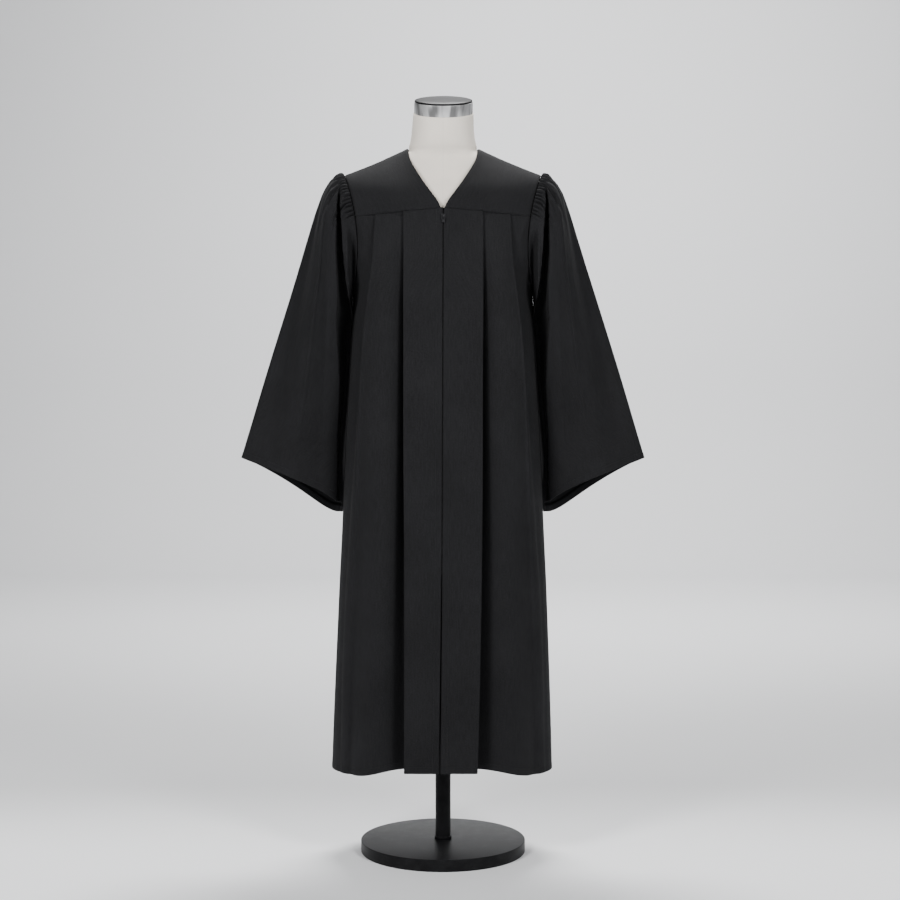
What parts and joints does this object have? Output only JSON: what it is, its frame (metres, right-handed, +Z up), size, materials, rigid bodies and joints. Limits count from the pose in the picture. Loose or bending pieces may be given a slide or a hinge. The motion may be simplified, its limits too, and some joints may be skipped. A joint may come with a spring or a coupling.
{
  "type": "graduation gown on a dress form",
  "caption": "Black graduation gown with a V neck, a front zip, pressed pleats and gathered bell sleeves, worn by a limbless dress form on a pole with a round base.",
  "frame": {"origin": "centre of the round base's underside, on the floor", "axes": "+Z up, the gown's front faces -Y, +X to the viewer's right"},
  "size_m": [0.8442, 0.346, 1.5875],
  "materials": {
    "gown_cloth": "matte woven",
    "zip_tape": "matte woven tape",
    "zip_metal": "black enamel",
    "form_cloth": "matte jersey",
    "chrome_band": "brushed chrome",
    "black_plastic": "matte",
    "black_metal": "satin powder coat"
  },
  "bodies": {
    "gown_and_form": {"yoke_front_left": "gown_cloth", "yoke_front_right": "gown_cloth", "yoke_back": "gown_cloth", "front_left": "gown_cloth", "front_right": "gown_cloth", "back": "gown_cloth", "sleeve_left": "gown_cloth", "sleeve_right": "gown_cloth", "zip_tape_left": "zip_tape", "zip_tape_right": "zip_tape", "zip_slider": "zip_metal", "form_torso": "form_cloth", "form_neck_ring": "chrome_band", "form_neck_cap": "black_plastic", "stand_pole": "black_metal", "stand_base": "black_metal"},
    "zip_pull": {"zip_pull": "zip_metal"}
  },
  "joints": [
    {"name": "zip_pull_swing", "type": "hinge", "parent": "gown_and_form", "child": "zip_pull", "pos_m": [0.0011, -0.1195, 1.325], "axis": [-1, 0, 0], "range_deg": [0, 150]}
  ]
}
